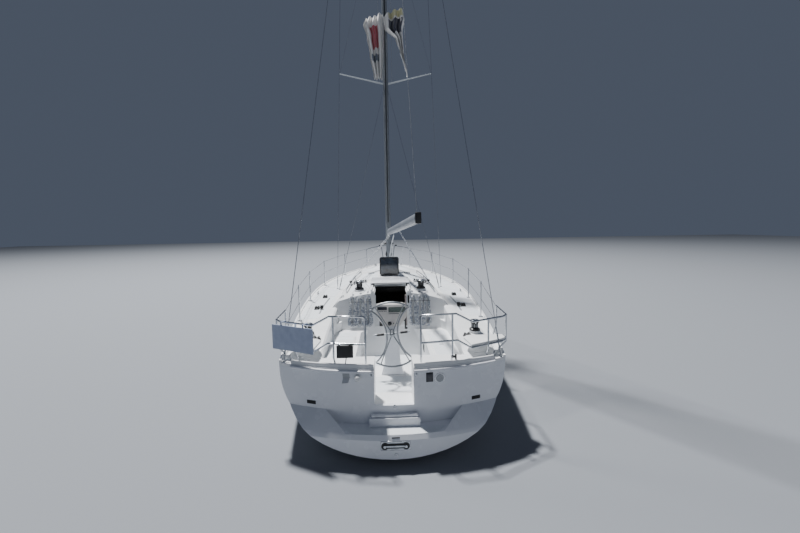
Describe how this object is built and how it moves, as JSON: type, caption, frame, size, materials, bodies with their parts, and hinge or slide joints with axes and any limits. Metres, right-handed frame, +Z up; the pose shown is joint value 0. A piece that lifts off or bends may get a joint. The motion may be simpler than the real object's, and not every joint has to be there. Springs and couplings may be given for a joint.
{
  "type": "sailing yacht",
  "caption": "Cruising sailing yacht with an open stern, folding wheel, sloop rig without sails, fin keel and spade rudder.",
  "frame": {"origin": "amidships on the centreline at the waterline", "axes": "+Y towards the bow, +X to starboard, +Z up along the mast"},
  "size_m": [3.5174, 10.31, 17.5187],
  "materials": {
    "gelcoat": "gloss moulded gelcoat",
    "deck_gelcoat": "satin gelcoat with fine non-skid panels",
    "smoked_acrylic": "dark tinted acrylic",
    "cast_iron": "epoxy coated cast iron",
    "antifouling": "matt antifouling paint",
    "bronze": "worn bronze",
    "grey_plastic": "moulded plastic",
    "anodised": "satin anodised",
    "painted_alloy": "semi-gloss enamel",
    "stainless": "polished stainless steel",
    "black_plastic": "moulded black plastic and anodising",
    "white_board": "satin plastic board",
    "rope": "braided polyester rope, grey and white",
    "flag_cloth": "woven flag polyester"
  },
  "bodies": {
    "root": {"hull": "gelcoat", "hatch_garage": "gelcoat", "pedestal": "gelcoat", "deck": "deck_gelcoat", "cockpit": "deck_gelcoat", "cabin_window_port": "smoked_acrylic", "cabin_window_starboard": "smoked_acrylic", "keel": "cast_iron", "saildrive": "grey_plastic", "engine": "grey_plastic", "instrument_pod": "grey_plastic", "mast": "anodised", "spreader_lower_port": "anodised", "spreader_lower_starboard": "anodised", "spreader_upper_port": "anodised", "spreader_upper_starboard": "anodised", "cap_shroud_port": "stainless", "cap_shroud_starboard": "stainless", "lower_shroud_port": "stainless", "lower_shroud_starboard": "stainless", "backstay_port": "stainless", "backstay_starboard": "stainless", "stemhead": "stainless", "forestay_head": "stainless", "gooseneck": "stainless", "vang_foot": "stainless", "pushpit_port": "stainless", "pushpit_starboard": "stainless", "lifelines_port": "stainless", "lifelines_starboard": "stainless", "pulpit": "stainless", "handrail_port": "stainless", "handrail_starboard": "stainless", "outboard_bracket": "black_plastic", "rail_seat_port": "white_board", "rail_seat_starboard": "white_board", "notice_board": "white_board", "rope_hank_port": "rope", "rope_hank_starboard": "rope", "flag_port": "flag_cloth", "flag_starboard": "flag_cloth"},
    "rudder": {"rudder": "antifouling"},
    "wheel": {"wheel": "stainless"},
    "rim_port": {"wheel_rim_port": "stainless"},
    "rim_starboard": {"wheel_rim_starboard": "stainless"},
    "boom": {"boom": "painted_alloy", "boom_end": "black_plastic", "vang": "anodised"},
    "propeller": {"propeller": "bronze"},
    "furler": {"furler": "anodised", "furler_foil": "anodised"},
    "companionway_lid": {"companionway_hatch": "smoked_acrylic"},
    "saloon_lid": {"saloon_hatch": "smoked_acrylic"},
    "forward_lid": {"forward_hatch": "smoked_acrylic"},
    "locker_port": {"locker_lid_port": "deck_gelcoat"},
    "locker_starboard": {"locker_lid_starboard": "deck_gelcoat"},
    "winch_primary_port": {"winch_primary_port": "black_plastic"},
    "winch_primary_starboard": {"winch_primary_starboard": "black_plastic"},
    "winch_coachroof_port": {"winch_coachroof_port": "black_plastic"},
    "winch_coachroof_starboard": {"winch_coachroof_starboard": "black_plastic"}
  },
  "joints": [
    {"name": "rudder_turn", "type": "hinge", "parent": "root", "child": "rudder", "pos_m": [0, -4.35, -0.5], "axis": [0, 0, 1], "range_deg": [-35, 35]},
    {"name": "wheel_turn", "type": "hinge", "parent": "root", "child": "wheel", "pos_m": [0, -3.84, 1.183], "axis": [0, 1, 0], "range_deg": [-250, 250]},
    {"name": "rim_port_fold", "type": "hinge", "parent": "wheel", "child": "rim_port", "pos_m": [-0.26399, -3.915, 1.1599], "axis": [-0.0872, 0, 0.9962], "range_deg": [-180, 0]},
    {"name": "rim_starboard_fold", "type": "hinge", "parent": "wheel", "child": "rim_starboard", "pos_m": [0.26399, -3.915, 1.2061], "axis": [-0.0872, 0, 0.9962], "range_deg": [0, 180]},
    {"name": "boom_swing", "type": "hinge", "parent": "root", "child": "boom", "pos_m": [0, 0.71, 2.5], "axis": [0, 0, 1], "range_deg": [-71, 60]},
    {"name": "propeller_turn", "type": "hinge", "parent": "root", "child": "propeller", "pos_m": [0, -2.4, -0.7], "axis": [0, 1, 0], "continuous": true},
    {"name": "furler_turn", "type": "hinge", "parent": "root", "child": "furler", "pos_m": [0, 4.9, 1.48], "axis": [0, -0.2957, 0.9553], "continuous": true},
    {"name": "companionway_slide", "type": "slide", "parent": "root", "child": "companionway_lid", "axis": [0, -1, 0], "range_m": [0, 0.56]},
    {"name": "saloon_hatch_turn", "type": "hinge", "parent": "root", "child": "saloon_lid", "pos_m": [0, -0.208, 1.552], "axis": [1, 0, 0], "range_deg": [-90, 0]},
    {"name": "forward_hatch_turn", "type": "hinge", "parent": "root", "child": "forward_lid", "pos_m": [0, 1.97707, 1.50272], "axis": [1, 0, 0], "range_deg": [-90, 0]},
    {"name": "locker_port_turn", "type": "hinge", "parent": "root", "child": "locker_port", "pos_m": [-0.86, -3.7, 0.9504], "axis": [0, 1, 0], "range_deg": [-80, 0]},
    {"name": "locker_starboard_turn", "type": "hinge", "parent": "root", "child": "locker_starboard", "pos_m": [0.86, -3.7, 0.9504], "axis": [0, 1, 0], "range_deg": [0, 80]},
    {"name": "winch_primary_port_turn", "type": "hinge", "parent": "root", "child": "winch_primary_port", "pos_m": [-1.17, -3.8, 1.212], "axis": [0, 0, 1], "continuous": true},
    {"name": "winch_primary_starboard_turn", "type": "hinge", "parent": "root", "child": "winch_primary_starboard", "pos_m": [1.17, -3.8, 1.212], "axis": [0, 0, 1], "continuous": true},
    {"name": "winch_coachroof_port_turn", "type": "hinge", "parent": "root", "child": "winch_coachroof_port", "pos_m": [-0.567, -1.95, 1.535], "axis": [0, 0, 1], "continuous": true},
    {"name": "winch_coachroof_starboard_turn", "type": "hinge", "parent": "root", "child": "winch_coachroof_starboard", "pos_m": [0.567, -1.95, 1.535], "axis": [0, 0, 1], "continuous": true}
  ],
  "couplings": [
    {"joint": "wheel_turn", "follows": "rudder_turn", "ratio": 7}
  ]
}
